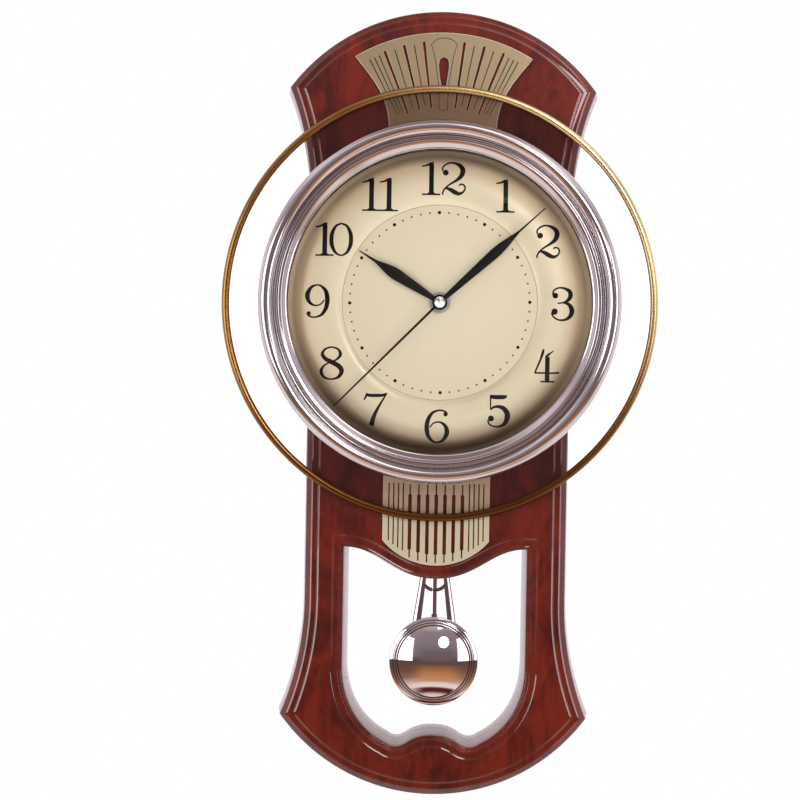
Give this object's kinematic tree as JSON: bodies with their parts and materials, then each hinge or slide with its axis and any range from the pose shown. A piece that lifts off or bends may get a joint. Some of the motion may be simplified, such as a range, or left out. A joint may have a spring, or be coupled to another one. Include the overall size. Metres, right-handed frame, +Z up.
{
  "type": "pendulum wall clock",
  "caption": "Wall clock with a lacquered hourglass case, slotted gilt plates, a smoked glass disc, a chrome bezel, turning hands and a pendulum swinging in a serpentine window.",
  "frame": {"origin": "seat of the hanging keyhole on the wall plane", "axes": "+X right as seen from the front, +Y back into the wall, +Z up"},
  "size_m": [0.3438, 0.0826, 0.6283],
  "materials": {
    "lacquered_wood": "gloss lacquer",
    "gilt_plate": "satin",
    "gilt_rim": "polished",
    "chrome": "polished",
    "dial_sheet": "satin paint",
    "smoked_glass": "polished",
    "clear_glass": "polished",
    "hand_black": "gloss",
    "black_plastic": "matte",
    "white_plastic": "matte",
    "zinc_steel": "zinc plated",
    "copper_wire": "enamelled wire",
    "rubber": "matte",
    "battery_can": "printed"
  },
  "bodies": {
    "clock_case": {"case_front": "lacquered_wood", "case_side_right": "lacquered_wood", "case_side_left": "lacquered_wood", "case_top_rail": "lacquered_wood", "case_bottom_rail": "lacquered_wood", "hanger_plate": "zinc_steel", "hanger_screw_left": "zinc_steel", "hanger_screw_right": "zinc_steel", "top_fan_plate": "gilt_plate", "bottom_slotted_plate": "gilt_plate", "glass_disc": "smoked_glass", "glass_rim_ring": "gilt_rim", "glass_spacer": "rubber", "dial_pan": "black_plastic", "dial_plate": "dial_sheet", "bezel": "chrome", "dial_lens": "clear_glass", "movement_housing": "black_plastic", "movement_cover": "black_plastic", "battery": "battery_can", "battery_contact_positive": "zinc_steel", "battery_contact_negative": "zinc_steel", "rubber_gasket": "rubber", "bush_washer": "zinc_steel", "bush_nut": "zinc_steel", "swing_pivot_pin": "zinc_steel", "drive_coil": "copper_wire"},
    "hour": {"hour_hand": "hand_black", "hour_pipe": "white_plastic"},
    "minute": {"minute_hand": "hand_black", "minute_pipe": "white_plastic"},
    "second": {"second_hand": "hand_black", "hand_cap": "chrome", "second_shaft": "zinc_steel"},
    "knob": {"time_set_knob": "black_plastic"},
    "pendulum": {"swing_lever": "white_plastic", "drive_magnet": "zinc_steel", "pendulum_frame": "chrome", "bob_shell": "chrome", "bob_back": "chrome"}
  },
  "joints": [
    {"name": "minute_turn", "type": "hinge", "parent": "clock_case", "child": "minute", "pos_m": [0, -0.06, -0.201], "axis": [0, 1, 0], "continuous": true},
    {"name": "hour_turn", "type": "hinge", "parent": "clock_case", "child": "hour", "pos_m": [0, -0.06, -0.201], "axis": [0, 1, 0], "continuous": true},
    {"name": "knob_turn", "type": "hinge", "parent": "clock_case", "child": "knob", "pos_m": [0.0104, -0.02, -0.195], "axis": [0, 1, 0], "continuous": true},
    {"name": "second_turn", "type": "hinge", "parent": "clock_case", "child": "second", "pos_m": [0, -0.06, -0.201], "axis": [0, 1, 0], "continuous": true},
    {"name": "pendulum_swing", "type": "hinge", "parent": "clock_case", "child": "pendulum", "pos_m": [0, -0.0285, -0.261], "axis": [0, 1, 0], "range_deg": [-7, 7]}
  ],
  "couplings": [
    {"joint": "hour_turn", "follows": "minute_turn", "ratio": 0.083333},
    {"joint": "knob_turn", "follows": "minute_turn", "ratio": -0.33333}
  ]
}
